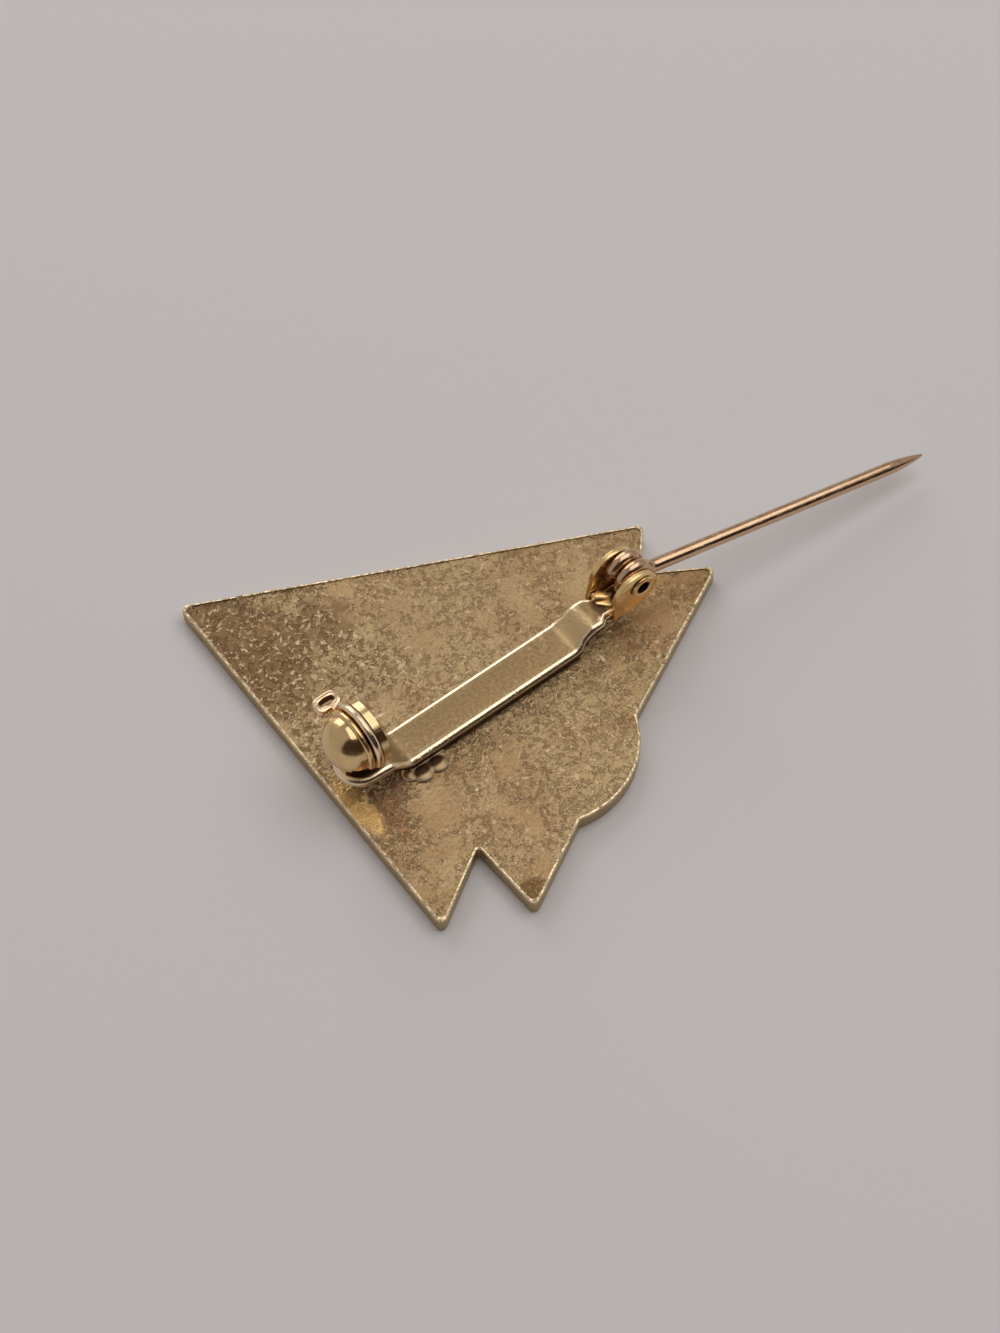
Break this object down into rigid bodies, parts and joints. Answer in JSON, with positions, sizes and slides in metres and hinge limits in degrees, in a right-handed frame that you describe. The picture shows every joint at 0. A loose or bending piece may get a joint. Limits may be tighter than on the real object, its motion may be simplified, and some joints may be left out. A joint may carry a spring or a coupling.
{
  "type": "enamel lapel pin",
  "caption": "Flat pin badge with a pointed, notched outline, lying face down: enamelled front, grained brass back, soldered bar with a hinged pin stem and a turning safety catch.",
  "frame": {"origin": "on the front face, which is the face the pin lies on, under the middle of the soldered bar", "axes": "+X along the bar from the catch to the hinge, +Z out of the back of the pin, so up as it lies; +Y completes a right-handed frame, towards the plate's longest point"},
  "size_m": [0.0472, 0.0312, 0.008],
  "materials": {
    "plate_metal": "grained and tarnished",
    "fastening_metal": "worn bright",
    "enamel": "polished opaque enamel"
  },
  "bodies": {
    "badge": {"plate_and_bar": "plate_metal", "enamel_fill": "enamel", "hinge_rivet": "fastening_metal"},
    "stem": {"pin_stem": "fastening_metal"},
    "rotor": {"catch_rotor": "fastening_metal"}
  },
  "joints": [
    {"name": "pin_hinge", "type": "hinge", "parent": "badge", "child": "stem", "pos_m": [0.01185, 0, 0.00475], "axis": [0, -1, 0], "range_deg": [0, 186]},
    {"name": "catch_turn", "type": "hinge", "parent": "badge", "child": "rotor", "pos_m": [-0.0093, 0.00035, 0.00567], "axis": [1, 0, 0], "range_deg": [0, 90]}
  ]
}
